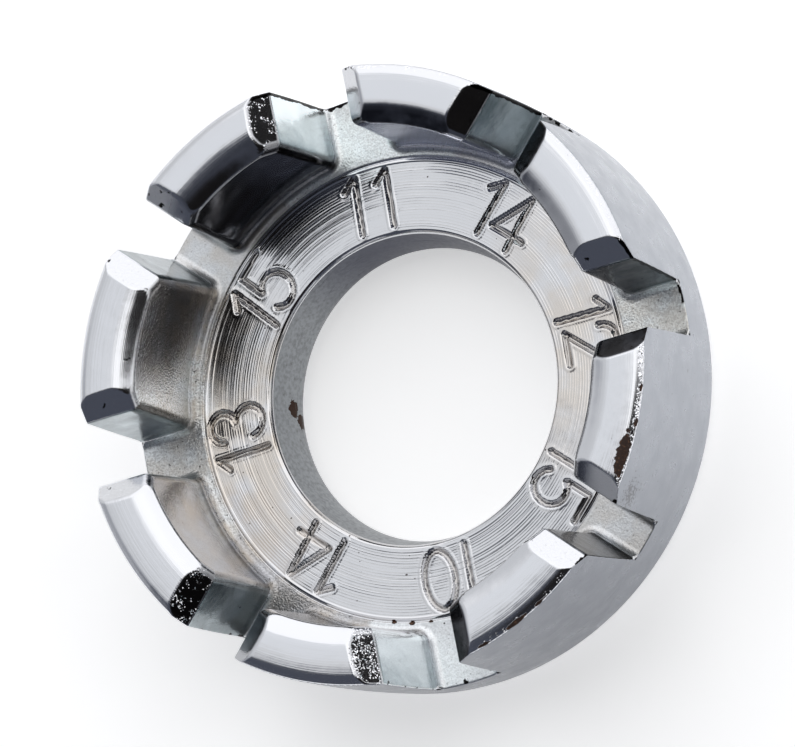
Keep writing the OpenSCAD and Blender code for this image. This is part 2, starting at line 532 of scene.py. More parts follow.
face = face_grid()
base = base_grid()
print("face grid:", face[0].shape, "base grid:", base[0].shape)

# %% [markdown]
# ## Joining the grids
#
# Inside a grid, each cell is two triangles, and the last column joins the first. Between two grids the
# columns don't match, so the two loops are zipped: all their angles are sorted together, and each one adds
# the triangle that it completes. The zips lie on plain stretches of face and wall, where they don't show.

# %% Triangles
def grid_triangles(rows, columns, first):
    """Two triangles per cell of a closed grid whose points are numbered row by row from first."""
    i, j = np.meshgrid(np.arange(rows - 1), np.arange(columns), indexing="ij")
    a = first + i * columns + j
    b = a + columns
    d = first + i * columns + (j + 1) % columns
    c = d + columns
    return np.vstack([np.column_stack([a.ravel(), b.ravel(), c.ravel()]),
                      np.column_stack([a.ravel(), c.ravel(), d.ravel()])])


def zip_triangles(turn_a, first_a, turn_b, first_b):
    """Triangles between two loops of sorted angles: loop a comes before loop b on the path."""
    na, nb = len(turn_a), len(turn_b)
    order = np.argsort(np.append(turn_a, turn_b), kind="stable")
    from_a = order < na
    last_a, last_b = np.cumsum(from_a) - 1, np.cumsum(~from_a) - 1
    before_a = np.where(from_a, last_a - 1, last_a) % na
    before_b = np.where(from_a, last_b, last_b - 1) % nb
    third = np.where(from_a, first_a + last_a % na, first_b + last_b % nb)
    return np.column_stack([first_a + before_a, first_b + before_b, third])


def join_grids(grids):
    """All points of the grids in one array, and the triangles in and between them, as one closed surface."""
    firsts = np.append(0, np.cumsum([radius.size for radius, turn, z in grids]))
    flat = [np.column_stack([(radius * np.cos(turn)).ravel(), (radius * np.sin(turn)).ravel(), z.ravel()])
            for radius, turn, z in grids]
    faces = [grid_triangles(*grid[0].shape, first) for grid, first in zip(grids, firsts)]
    for k, (radius, turn, z) in enumerate(grids):
        after = (k + 1) % len(grids)
        last_row = firsts[k + 1] - turn.shape[1]
        faces.append(zip_triangles(turn[-1], last_row, grids[after][1][0], firsts[after]))
    return np.vstack(flat), np.vstack(faces)


def drop_repeats(p, faces):
    """Merges points that are exactly alike, and drops the triangles that this closes up."""
    p, number = np.unique(p, axis=0, return_inverse=True)
    faces = number.ravel()[faces]
    a, b, c = faces.T
    return p, faces[(a != b) & (b != c) & (c != a)]


start, triangles = join_grids([face, crown, base])
start, triangles = drop_repeats(start, triangles)
surface = onto_surface(start)
print("points", len(surface), "triangles", len(triangles))
print("furthest point from the surface in mm:", np.abs(metal(surface)).max().round(4))

# %% [markdown]
# ## The mesh
#
# The points go into one closed mesh. Its normals are worked out from the same function as the surface, so
# that the chrome reflects the true roundness of each edge and not the flats of the triangles.

# %% Make the mesh
def make_mesh(name, p, faces, normals):
    """A mesh object from points in mm, triangles, and a normal for each point."""
    mesh = bpy.data.meshes.new(name)
    mesh.vertices.add(len(p))
    mesh.vertices.foreach_set("co", (p * MM).astype(np.float32).ravel())
    mesh.loops.add(faces.size)
    mesh.loops.foreach_set("vertex_index", faces.astype(np.int32).ravel())
    mesh.polygons.add(len(faces))
    mesh.polygons.foreach_set("loop_start", np.arange(0, faces.size, 3, dtype=np.int32))
    mesh.update(calc_edges=True)
    mesh.polygons.foreach_set("use_smooth", np.ones(len(faces), bool))
    mesh.normals_split_custom_set_from_vertices(normals.tolist())
    piece = bpy.data.objects.new(name, mesh)
    scene.collection.objects.link(piece)
    return piece


slope = slope_of(surface)
normals = slope / np.linalg.norm(slope, axis=1)[:, None]
ring = make_mesh("chromed_wrench_ring", surface, triangles, normals)
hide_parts("wrench_ring")
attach(ring, "root")
print("mesh made:", len(ring.data.polygons), "triangles")

# %% [markdown]
# ## Where each finish lies
#
# One plating covers the tool, yet it looks different from place to place. Partly it copies the steel under
# it: ground crests, jaws with the grain of the forging, pitted lead-in slopes, and warm patches. Partly it is
# painted light: painted shade where the chrome reflects dark, and painted highlights, a painted sheen and a
# painted glint where it reflects bright. Painting masks by hand would be one way. Here each mask is a formula
# of where a point lies and which way it faces, kept as an attribute of the mesh that the materials read.
# No two jaws or lugs look alike, so the tables say how much each one has of a finish: 0 is none, 1 is full,
# and more than 1 spreads it wider.

# %% Finish of each jaw and lug
# The two slopes or walls of each jaw, anticlockwise from +X: all the clockwise ones, then all the others
SLOPE_PITS = np.array([[0, 0, 0, 0, 0, 0.4, 1, 0], [0, 0, 0.2, 0, 0, 0, 0, 0]]).T
# Painted shade on each slope, where its chrome reflects dark
SLOPE_PAINTED_SHADE = np.array([[1.5, 1.4, 0.1, 0, 0, 0.8, 0.4, 0], [0, 0.5, 0.6, 0, 0, 0.5, 1.3, 0.6]]).T
SLOPE_DULL = np.array([[0, 0, 0, 0.6, 0.2, 0, 0, 0], [0.2, 0, 0, 0, 0, 0, 0, 2.2]]).T
SLOPE_SPOTS = np.array([[0.2, 0.3, 0, 0.2, 0.1, 0, 0, 0], [0.1, 0, 0, 0, 0.1, 0, 0, 0.1]]).T
# Painted shade on each jaw wall
WALL_PAINTED_SHADE = np.array([[0.2, 0.1, 0.2, 0.8, 0.5, 0.5, 0, 1.8], [0.8, 0.2, 0, 0.6, 0.3, 0.2, 0.1, 0.2]]).T
# Painted highlight on each jaw wall, where its chrome reflects bright
WALL_PAINTED_HIGHLIGHT = np.array([[0, 0, 0, 0, 0, 0, 1, 0], [0, 0, 0.6, 0, 0, 0, 0.8, 0]]).T
END_BURR = np.array([[0.5, 0.4, 0.3, 0.1, 0.1, 0.35, 0.3, 0.6], [1, 1, 1, 0.1, 0.3, 0.35, 0.2, 0.3]]).T
# One value for each jaw's floor
FLOOR_GRAIN = np.array([1, 0.5, 0.6, 0.4, 1, 1, 0.45, 0.5])
# Painted shade on each jaw's floor
FLOOR_PAINTED_SHADE = np.array([0, 0.1, 0, 0.1, 0.1, 0.3, 0, 0.1])
FLOOR_WARM = np.array([0.4, 0.1, 0.1, 0.35, 0.4, 0.3, 0, 0.3])
# Painted highlight on each jaw's floor
FLOOR_PAINTED_HIGHLIGHT = np.array([0.9, 0, 0.9, 0.3, 0.6, 0, 0.4, 0.3])
# One value for each lug, from the one after the first jaw: inner wall, its corners, shoulder and outer edge
INNER_GRAIN = np.array([0.1, 0.2, 0.08, 0.7, 0.4, 0.2, 0.2, 0.2])
# Painted shade on each lug's inner wall
INNER_PAINTED_SHADE = np.array([0, 0, 0.76, 0.72, 0.4, 0.2, 0.2, 0.2])
INNER_WARM = np.array([0, 0, 0, 0.35, 0.35, 0.2, 0.1, 0])
# Painted violet sheen on each lug's inner wall
INNER_PAINTED_SHEEN = np.array([0, 1, 0.15, 0.1, 0, 0, 0, 0])
# Painted shade on each lug's inner corners and on its shoulder
CORNER_PAINTED_SHADE = np.array([0, 0, 0.8, 0.2, 0.2, 0, 0, 0])
SHOULDER_PAINTED_SHADE = np.array([0.35, 0.95, 0.4, 0, 0, 0, 0, 0])
EDGE_CHIPS = np.array([0.5, 0.3, 0, 0, 0, 0, 0.15, 2.2])
# How deep the lines of the grinding are on each lug's crest, away from its outer edge
CREST_LINES = np.array([0.45, 0.3, 0.45, 1, 1, 0.45, 0.35, 0.6])
# The one lug whose inner wall goes from painted shade to a painted highlight on its way round
SHADE_TO_HIGHLIGHT_LUG = 3
# Rust: azimuth in degrees, radius, height, half length round the tool, half width
RUST_SPOTS = [
    (-30.5, 25.45, 17.25, 1.75, 0.44), (-24.0, 25.85, 17.05, 0.3, 0.16), (-34.3, 25.7, 17.2, 0.3, 0.2),
    (-18.0, 25.85, 17.05, 0.25, 0.14), (-62.0, 25.85, 17.05, 0.5, 0.15), (-68.0, 25.85, 17.05, 1.0, 0.2),
    (-75.5, 25.85, 17.05, 0.5, 0.15), (171.0, 12.6, 3.3, 0.7, 0.6), (175.5, 12.5, 2.2, 0.6, 0.6),
    (-107.0, 19.7, 6.4, 0.25, 0.17), (-102.0, 19.8, 6.4, 0.3, 0.2), (-97.0, 19.8, 6.4, 0.18, 0.17),
]
# Where a hook rubbed the outside near the 15 gauge jaw: azimuth in degrees, radius, height, and size
RUBBED = (-37.0, 25.8, 14.2, 1.9)
print("spots of rust:", len(RUST_SPOTS))

# %% Spots and patches
def ramp(v, low, high):
    """0 up to low, 1 from high on, and a smooth cubic between them."""
    t = np.clip((v - low) / (high - low), 0, 1)
    return t * t * (3 - 2 * t)


def away_from(p, azimuth, radius, height):
    """How far the points p lie from a place on the tool: round the axis, outwards, and up."""
    a = math.radians(azimuth)
    away = p - [radius * math.cos(a), radius * math.sin(a), height]
    round_way = -away[:, 0] * math.sin(a) + away[:, 1] * math.cos(a)
    out_way = away[:, 0] * math.cos(a) + away[:, 1] * math.sin(a)
    return round_way, out_way, away[:, 2]


def rust_near(p):
    """1 in the middle of a spot of rust and 0 from twice its size on.

    A spot follows the curve of the tool, which falls back by the way round squared over twice the radius.
    """
    rust = np.zeros(len(p))
    for azimuth, radius, height, length, width in RUST_SPOTS:
        round_way, out_way, up_way = away_from(p, azimuth, radius, height)
        out_way = out_way + round_way**2 / (2 * radius)
        far = np.sqrt((round_way / length) ** 2 + (out_way**2 + up_way**2) / width**2)
        rust = np.maximum(rust, 1 - ramp(far, 0.2, 2.0))
    return rust


def rubbed_near(p):
    """1 in the middle of the rubbed patch, falling off as the bell curve of the distance over its size."""
    azimuth, radius, height, size = RUBBED
    away = np.linalg.norm(away_from(p, azimuth, radius, height), axis=0)
    return np.exp(-((away / size) ** 2))


print("points with rust:", np.count_nonzero(rust_near(surface)))

# %% Masks on the mesh
def kinds_of_surface(r, h, outward, sideways, upward):
    """Share of lead-in slope, crest, jaw wall, inner wall, floor and turned face.

    The last three numbers are the parts of the normal away from the axis, round it, and up.
    """
    high = ramp(h, LEAD_Z - 0.4, LEAD_Z)
    slope = high * ramp(sideways, 0.25, 0.5) * ramp(upward, 0.35, 0.6)
    crest = high * ramp(upward, 0.5, 0.7) * (1 - slope)
    wall = ramp(sideways, 0.5, 0.85) * (1 - ramp(upward, 0.3, 0.6))
    inner = ramp(-outward, 0.3, 0.7) * (1 - wall) * (1 - crest - slope)
    floor = ramp(upward, 0.3, 0.9) * (1 - high)
    face = (r < RIM_LINE_R) * floor
    return slope, crest, wall, inner, floor - face, face


def turned_marks(r, turn):
    """How bold the scratches of the turned face are, and where it is calm, by radius and side of the tool."""
    near_hole = 1 - ramp(r, 15, 18)
    bold = 0.12 + 0.85 * ramp(-np.cos(turn + 0.35), 0.2, 0.7)
    bold = bold + 0.4 * near_hole * ramp(np.cos(turn + 1), 0.5, 0.9)
    calm = near_hole * ramp(np.cos(turn - 1.95), 0.8, 0.95)
    return bold * (1 - 0.7 * calm), calm


def finish_masks(p, n):
    """The masks at the points p with normals n, as a dictionary: 0 is none, 1 is full, and some go beyond."""
    r, turn, h = np.hypot(p[:, 0], p[:, 1]), np.arctan2(p[:, 1], p[:, 0]), p[:, 2] - FACE_Z
    jaw = np.round(turn / JAW_STEP).astype(int)
    side = (turn > jaw * JAW_STEP).astype(int)
    jaw = jaw % len(JAW_WIDTHS)
    lug = np.floor(turn / JAW_STEP).astype(int) % len(JAW_WIDTHS)
    outward = (n[:, 0] * p[:, 0] + n[:, 1] * p[:, 1]) / r
    sideways = np.abs(n[:, 1] * p[:, 0] - n[:, 0] * p[:, 1]) / r
    slope, crest, wall, inner, floor, face = kinds_of_surface(r, h, outward, sideways, n[:, 2])
    left, right = ramp(-np.cos(turn), 0.6, 1.0), ramp(np.cos(turn), 0.6, 1.0)
    bold, calm = turned_marks(r, turn)
    shoulder = crest * ramp(-outward, 0.1, 0.3)
    edge = crest * ramp(r, OUTER_R - 0.85 * BEVEL_W, OUTER_R - 0.5 * BEVEL_W)
    lines = np.maximum(CREST_LINES[lug], ramp(r, OUTER_R - 2.0, OUTER_R - 1.0))
    # On that lug, how far the painted shade gives way to the painted highlight
    highlight_share = (lug == SHADE_TO_HIGHLIGHT_LUG) * ramp((turn / JAW_STEP) % 1 - 0.03 * h, 0.26, 0.58)
    # Painted shade on the inner walls and their corners
    inner_painted_shade = INNER_PAINTED_SHADE[lug] * (1 - highlight_share) + CORNER_PAINTED_SHADE[lug] * ramp(sideways, 0.1, 0.4)
    end = ramp(r - wall_r(p[:, 2]), -0.6, -0.15) * (wall + slope + 0.6 * floor)
    # Painted shade: one side of the outer wall, and one side of the wall of the hole
    side_shade = 0.55 * ramp(outward, 0.6, 0.9) * ramp(np.cos(turn + 1.6), 0.3, 1.0)
    side_shade = side_shade + ramp(-outward, 0.6, 0.9) * (r < LUG_FOOT_R - 1) * ramp(np.cos(turn - 1.2), 0.3, 0.9)
    slope_dull = SLOPE_DULL[jaw, side] * ramp(r, 22, 24)
    # Painted shade on the slopes, less where they are dull
    slope_painted_shade = SLOPE_PAINTED_SHADE[jaw, side] * (1 - np.minimum(slope_dull, 1))
    relief = number_relief(p[:, 0], p[:, 1]) * (p[:, 2] > FACE_Z - 1)
    return {
        "ground": crest * lines,
        "grain": floor * FLOOR_GRAIN[jaw] + inner * INNER_GRAIN[lug] + 0.2 * wall + 0.1 * slope,
        "dull": 0.8 * floor + 0.35 * wall + 0.3 * inner * INNER_GRAIN[lug] + slope * (0.05 + slope_dull),
        "cool": wall,
        # Painted violet sheen on inner walls
        "painted_sheen": inner * INNER_PAINTED_SHEEN[lug],
        # Painted highlight on some walls and floors, and on one lug's inner wall
        "painted_highlight": wall * WALL_PAINTED_HIGHLIGHT[jaw, side] + floor * FLOOR_PAINTED_HIGHLIGHT[jaw] + inner * highlight_share,
        "pits": slope * SLOPE_PITS[jaw, side] + edge * EDGE_CHIPS[lug],
        # Painted shade where the chrome reflects dark: slopes, walls, floors, inner walls and shoulders
        "painted_shade": (slope * slope_painted_shade + wall * WALL_PAINTED_SHADE[jaw, side] + floor * FLOOR_PAINTED_SHADE[jaw]
                 + inner * inner_painted_shade + shoulder * SHOULDER_PAINTED_SHADE[lug]),
        "warm": (floor * FLOOR_WARM[jaw] + inner * INNER_WARM[lug] * (1 - 0.5 * ramp(h, 5, 9))
                 + face * (0.7 * left + 0.6 * right)),
        "spots": slope * SLOPE_SPOTS[jaw, side] + end * END_BURR[jaw, side],
        "bold": face * bold,
        "struck": np.clip(-relief / STROKE_DEPTH, 0, 1),
        "smooth": np.maximum(np.clip(4 * relief / LIP_H, 0, 1), 0.6 * calm),
        "side_shade": side_shade,
        "rust": rust_near(p),
        "rubbed": rubbed_near(p),
    }


def write_masks(mesh, masks):
    """Puts each mask into the mesh as an attribute of its points."""
    for name, values in masks.items():
        mesh.attributes.new(name, "FLOAT", "POINT").data.foreach_set("value", values.astype(np.float32))


masks = finish_masks(surface, normals)
write_masks(ring.data, masks)
print("mean of each mask:", {name: round(float(v.mean()), 3) for name, v in masks.items()})

# %% [markdown]
# ## Small tools for node trees
#
# A material is a tree of nodes. The helpers below add one node in one line: its settings, its values, and
# the outputs that feed it. Patterns are worked out in millimetres of the tool, so they keep their size.

# %% Node helpers
def add(tree, kind, inputs, **settings):
    """Adds a node. inputs holds, for a socket's name or number, a value or the output that feeds it."""
    node = tree.nodes.new("ShaderNode" + kind)
    for name, value in settings.items():
        setattr(node, name, value)
    for key, value in inputs.items():
        if isinstance(value, bpy.types.NodeSocket):
            tree.links.new(value, node.inputs[key])
        else:
            node.inputs[key].default_value = value
    return node


def calc(tree, operation, a, b=0.0):
    """The output of one sum of two numbers."""
    return add(tree, "Math", {0: a, 1: b}, operation=operation).outputs[0]


def times(tree, a, b):
    """The product of two numbers."""
    return calc(tree, "MULTIPLY", a, b)


def blend(tree, share, a, b):
    """The colour a where share is 0 and b where it is 1."""
    return add(tree, "Mix", {0: share, 6: a, 7: b}, data_type="RGBA").outputs[2]


def span(tree, value, low, high, to_low=0.0, to_high=1.0):
    """value taken smoothly from the range low to high onto the range to_low to to_high."""
    inputs = {"Value": value, "From Min": low, "From Max": high, "To Min": to_low, "To Max": to_high}
    return add(tree, "MapRange", inputs, interpolation_type="SMOOTHSTEP").outputs["Result"]


def noise(tree, where, per_mm, detail=2.0):
    """A cloudy pattern with about per_mm lumps in a millimetre."""
    return add(tree, "TexNoise", {"Vector": where, "Scale": per_mm, "Detail": detail}).outputs["Fac"]


def bump(tree, height, depth_mm, normal=None):
    """Tilts the surface as if it were height times depth_mm high."""
    inputs = {"Height": height, "Distance": depth_mm * MM, "Strength": 1.0}
    if normal is not None:
        inputs["Normal"] = normal
    return add(tree, "Bump", inputs).outputs["Normal"]


def mask(tree, name):
    """A mask that was written into the mesh."""
    return add(tree, "Attribute", {}, attribute_name=name).outputs["Fac"]


def in_mm(tree):
    """Where the point lies in the tool's frame, in millimetres."""
    place = add(tree, "TexCoord", {}).outputs["Object"]
    return add(tree, "VectorMath", {0: place, 3: 1 / MM}, operation="SCALE").outputs[0]


def stretch(tree, where, factors):
    """The place with each of its three numbers times a factor, which squeezes a pattern along that number."""
    return add(tree, "VectorMath", {0: where, 1: factors}, operation="MULTIPLY").outputs[0]


def round_the_axis(tree, where):
    """Radius in mm, and a place for patterns that run round the axis: direction in x and y, radius in z."""
    flat = stretch(tree, where, (1, 1, 0))
    radius = add(tree, "VectorMath", {0: flat}, operation="LENGTH").outputs["Value"]
    unit = add(tree, "VectorMath", {0: flat}, operation="NORMALIZE").outputs[0]
    lift = add(tree, "CombineXYZ", {2: radius}).outputs[0]
    return radius, add(tree, "VectorMath", {0: unit, 1: lift}, operation="ADD").outputs[0]


def ragged(tree, amount, pattern, limit, soft=0.06):
    """1 where amount plus the pattern passes a limit: a patch with a ragged edge that the pattern cuts."""
    return span(tree, calc(tree, "ADD", amount, pattern), limit - soft / 2, limit + soft / 2)


def rust_share(tree, where):
    """Share of rust: the mask of the spots, broken up into flakes."""
    flakes = noise(tree, where, 2.4, 4.0)
    return ragged(tree, mask(tree, "rust"), times(tree, flakes, 0.9), 0.96)


def new_metal(name):
    """A metal material: the material, its tree and its shader."""
    material = bpy.data.materials.new(name)
    material.use_nodes = True
    shader = material.node_tree.nodes["Principled BSDF"]
    shader.inputs["Metallic"].default_value = 1.0
    return material, material.node_tree, shader


print("node helpers ready")

# %% [markdown]
# ## The forged and ground crown
#
# The jaws still have the orange-peel grain of the forging under the chrome. Their slopes and some edges have
# pits and chips, each a small facet turned its own way, so that a few catch the light, helped by a painted
# glint. The crests were ground while the tool turned, so their fine lines run round the axis. Rust has lifted
# the coat from the outer edge of two lugs. The colour is built in layers, from the clean coat up to the rust,
# and a mask says where each layer lies. Some layers are painted light: painted shade where the chrome
# reflects dark, and painted highlights and a violet painted sheen where it reflects bright. A picture wrapped
# over the crown would hold the reflections of one room.

# %% Crown material
CHROME = (0.74, 0.75, 0.78, 1)
# Painted shade: the near black of chrome that reflects dark
PAINTED_SHADE_COAT = (0.07, 0.072, 0.082, 1)
WARM_COAT = (0.62, 0.54, 0.44, 1)
COOL_COAT = (0.84, 0.93, 0.96, 1)
COOL_SHADE = (0.6, 0.68, 0.7, 1)
# Painted highlight: a coat brighter than clean chrome, for surfaces that reflect bright
PAINTED_HIGHLIGHT_COAT = (0.93, 0.98, 0.99, 1)
# Painted sheen: violet and brighter than clean chrome
PAINTED_VIOLET_SHEEN = (0.84, 0.87, 1.0, 1)
GRAIN_SHADE = (0.3, 0.3, 0.31, 1)
# Painted glint: brighter than clean chrome, for pits and chips, on top of their real tilt
PIT_GLINT = (0.95, 0.96, 1.0, 1)
# Near black for pores and burrs, and for the deepest painted shade
BLACK_MARKS_AND_PAINTED_SHADE = (0.012, 0.011, 0.011, 1)
RUST_DARK = (0.035, 0.016, 0.01, 1)
RUST_LIGHT = (0.13, 0.06, 0.03, 1)


def pit_facets(tree, where):
    """A random colour for each cell of a fine pattern, and 1 in the cells that are pits, in clusters."""
    cells = add(tree, "TexVoronoi", {"Vector": where, "Scale": 10.0}).outputs["Color"]
    chance = add(tree, "SeparateColor", {0: cells}).outputs[0]
    clusters = noise(tree, where, 1.2, 2.0)
    chance = calc(tree, "ADD", times(tree, chance, 0.6), clusters)
    pits = ragged(tree, times(tree, mask(tree, "pits"), 0.2), chance, 1.14, 0.02)
    return cells, times(tree, pits, span(tree, mask(tree, "pits"), 0.0, 0.1))


def crown_colour(tree, where, grain, pits, rust):
    """Layers over the clean coat: tints, painted highlight and sheen, grain, painted shade, warm coat, pores,
    spots, pits with a painted glint, rust.
    """
    patches = noise(tree, where, 0.45, 3.0)
    # Painted shade, broken into patches
    painted_shade = times(tree, mask(tree, "painted_shade"), span(tree, patches, 0.25, 0.55, 0.75, 1.05))
    warm = times(tree, mask(tree, "warm"), span(tree, patches, 0.3, 0.65))
    pores = times(tree, span(tree, noise(tree, where, 3.6, 2.0), 0.64, 0.7), mask(tree, "grain"))
    blots = noise(tree, where, 1.2, 4.0)
    spots = ragged(tree, times(tree, mask(tree, "spots"), 0.5), blots, 0.75, 0.04)
    cool = blend(tree, span(tree, noise(tree, where, 0.3, 2.0), 0.35, 0.65), COOL_COAT, COOL_SHADE)
    glint = times(tree, mask(tree, "grain"), span(tree, grain, 0.4, 0.6, 0.0, 0.45))
    rust_colour = blend(tree, span(tree, noise(tree, where, 4.0), 0.5, 0.75), RUST_DARK, RUST_LIGHT)
    layers = [
        (mask(tree, "cool"), cool),
        # Painted highlight
        (mask(tree, "painted_highlight"), PAINTED_HIGHLIGHT_COAT),
        # Painted violet sheen
        (mask(tree, "painted_sheen"), PAINTED_VIOLET_SHEEN),
        (glint, GRAIN_SHADE),
        # Painted shade, going near black where it runs deepest
        (painted_shade, PAINTED_SHADE_COAT),
        (span(tree, painted_shade, 1.0, 1.8), BLACK_MARKS_AND_PAINTED_SHADE),
        (warm, WARM_COAT),
        (times(tree, pores, 0.7), BLACK_MARKS_AND_PAINTED_SHADE),
        (spots, BLACK_MARKS_AND_PAINTED_SHADE),
        # Pits and chips with the painted glint
        (pits, PIT_GLINT),
        (rust, rust_colour),
    ]
    colour = CHROME
    for share, layer in layers:
        colour = blend(tree, share, colour, layer)
    return colour


def crown_normal(tree, where, grain, cells, pits, rust):
    """Bumps from the widest to the finest, and then each pit tilted by its cell's colour less a mid grey."""
    ring_way = round_the_axis(tree, where)[1]
    lines = noise(tree, stretch(tree, ring_way, (1.5, 1.5, 7.0)), 1.0, 3.0)
    wavy = span(tree, mask(tree, "cool"), 0, 1, 0.3, 1.0)
    waves = times(tree, noise(tree, where, 0.5, 2.0), wavy)
    normal = bump(tree, waves, 0.09)
    normal = bump(tree, times(tree, grain, mask(tree, "grain")), 0.04, normal)
    normal = bump(tree, times(tree, lines, mask(tree, "ground")), 0.018, normal)
    normal = bump(tree, rust, -0.08, normal)
    tilt = add(tree, "VectorMath", {0: cells, 1: (0.5, 0.5, 0.5)}, operation="SUBTRACT").outputs[0]
    tilt = add(tree, "VectorMath", {0: tilt, 3: pits}, operation="SCALE").outputs[0]
    normal = add(tree, "VectorMath", {0: normal, 1: tilt}, operation="ADD").outputs[0]
    return add(tree, "VectorMath", {0: normal}, operation="NORMALIZE").outputs[0]


def crown_material():
    """Chrome over ground, forged and pitted steel."""
    material, tree, shader = new_metal("crown_chrome")
    where = in_mm(tree)
    grain = noise(tree, where, 6.5, 1.0)
    cells, pits = pit_facets(tree, where)
    rust = rust_share(tree, where)
    tree.links.new(crown_colour(tree, where, grain, pits, rust), shader.inputs["Base Color"])
    rough = calc(tree, "ADD", 0.11, times(tree, mask(tree, "dull"), 0.3))
    rough = calc(tree, "ADD", rough, times(tree, mask(tree, "ground"), 0.07))
    rough = calc(tree, "MAXIMUM", rough, times(tree, rust, 0.75))
    tree.links.new(rough, shader.inputs["Roughness"])
    tree.links.new(calc(tree, "SUBTRACT", 1.0, rust), shader.inputs["Metallic"])
    tree.links.new(crown_normal(tree, where, grain, cells, pits, rust), shader.inputs["Normal"])
    return material


# %% [markdown]
# ## The turned face
#
# A lathe tool left a fine spiral here: a ridge about every quarter of a millimetre, and deeper scratches
# where a chip dragged round. Modelled ridges would take millions of triangles, so they are a bump worked out
# from the radius, which a slow noise bends a little. The scratches between them, too fine to see, spread a
# reflection across the ridges and not along them, which is what the shader's anisotropy does.

# %% Turned face material
FEED = 0.24
TURNED = (0.69, 0.695, 0.715, 1)
TURNED_WARM = (0.65, 0.58, 0.5, 1)
# Painted shade in the troughs of the struck numbers
STRUCK_SHADE = (0.3, 0.26, 0.22, 1)


def turned_material():
    """Chrome over a face turned on the lathe."""
    material, tree, shader = new_metal("turned_chrome")
    where = in_mm(tree)
    radius, ring_way = round_the_axis(tree, where)
    slow = noise(tree, stretch(tree, ring_way, (0.8, 0.8, 1.1)), 1.0)
    wander = calc(tree, "ADD", radius, times(tree, slow, 0.15))
    beside = calc(tree, "SUBTRACT", calc(tree, "FRACT", times(tree, wander, 1 / FEED)), 0.5)
    scallops = times(tree, times(tree, beside, beside), 4.0)
    scallops = times(tree, scallops, span(tree, slow, 0.35, 0.65, 0.4, 1.0))
    flattened = calc(tree, "MAXIMUM", mask(tree, "struck"), mask(tree, "smooth"))
    scallops = times(tree, scallops, span(tree, flattened, 0.0, 1.0, 1.0, 0.2))
    drag = span(tree, noise(tree, stretch(tree, ring_way, (0.5, 0.5, 4.5)), 1.0, 1.0), 0.54, 0.68)
    drag = times(tree, drag, mask(tree, "bold"))
    fine = noise(tree, stretch(tree, ring_way, (2.0, 2.0, 9.0)), 1.0, 2.0)

    patches = noise(tree, where, 0.3, 3.0)
    warm = times(tree, span(tree, patches, 0.3, 0.62), mask(tree, "warm"))
    colour = blend(tree, warm, TURNED, TURNED_WARM)
    pores = span(tree, noise(tree, where, 2.0, 1.0), 0.77, 0.8)
    colour = blend(tree, times(tree, pores, 0.8), colour, RUST_DARK)
    # Painted shade in the bottoms of the strokes
    colour = blend(tree, times(tree, mask(tree, "struck"), 0.6), colour, STRUCK_SHADE)
    colour = blend(tree, rust_share(tree, where), colour, RUST_DARK)
    tree.links.new(colour, shader.inputs["Base Color"])
    shader.inputs["Roughness"].default_value = 0.11
    shader.inputs["Anisotropic"].default_value = 0.6
    shader.inputs["Anisotropic Rotation"].default_value = 0.25
    tangent = add(tree, "Tangent", {}, direction_type="RADIAL", axis="Z").outputs[0]
    tree.links.new(tangent, shader.inputs["Tangent"])

    normal = bump(tree, scallops, 0.01)
    normal = bump(tree, drag, -0.02, normal)
    normal = bump(tree, fine, 0.004, normal)
    normal = bump(tree, noise(tree, where, 0.5, 2.0), 0.03, normal)
    tree.links.new(normal, shader.inputs["Normal"])
    return material


# %% [markdown]
# ## The outside, the back and the hole
#
# These were only tumbled before plating, so they stay satin, with one patch that a hook rubbed. One side of
# the outside and one side of the wall of the hole are darker: that is painted shade. The wall of the hole is
# duller still, with the grey of a thin coat and a little rust. One function makes both materials, because
# only the coat's colour, the size of its clouds and its roughness differ.

# %% Satin material
# Painted shade for one side of the outside and of the hole
PAINTED_SIDE_SHADE = (0.1, 0.105, 0.13, 1)
SPECK_SHADE = (0.1, 0.09, 0.08, 1)
# Colour, colour of the clouds, clouds in a millimetre, and roughness
OUTSIDE = ((0.44, 0.46, 0.5, 1), (0.42, 0.44, 0.48, 1), 0.5, 0.26)
HOLE = ((0.32, 0.335, 0.35, 1), (0.25, 0.26, 0.27, 1), 3.0, 0.36)


def satin_material(name, colour, dark, per_mm, roughness):
    """Chrome over tumbled steel: soft reflections, faint clouds and a fine grain."""
    material, tree, shader = new_metal(name)
    where = in_mm(tree)
    clouds = noise(tree, where, per_mm, 4.0)
    mixed = blend(tree, span(tree, clouds, 0.35, 0.7), colour, dark)
    # Painted shade on one side
    mixed = blend(tree, mask(tree, "side_shade"), mixed, PAINTED_SIDE_SHADE)
    specks = span(tree, noise(tree, where, 3.0, 3.0), 0.68, 0.76)
    rubbed = times(tree, mask(tree, "rubbed"), 0.46)
    rubbed = ragged(tree, rubbed, noise(tree, where, 4.5, 3.0), 0.84, 0.1)
    specks = calc(tree, "MAXIMUM", specks, rubbed)
    mixed = blend(tree, times(tree, specks, 0.5), mixed, SPECK_SHADE)
    mixed = blend(tree, rust_share(tree, where), mixed, RUST_DARK)
    tree.links.new(mixed, shader.inputs["Base Color"])
    tree.links.new(span(tree, clouds, 0.3, 0.7, roughness, roughness + 0.08), shader.inputs["Roughness"])
    normal = bump(tree, noise(tree, where, 6.0, 2.0), 0.01)
    normal = bump(tree, noise(tree, where, 0.6, 2.0), 0.03, normal)
    marks = span(tree, noise(tree, stretch(tree, where, (0.35, 0.35, 3.0)), 1.0, 3.0), 0.62, 0.7)
    normal = bump(tree, marks, -0.02, normal)
    tree.links.new(normal, shader.inputs["Normal"])
    return material


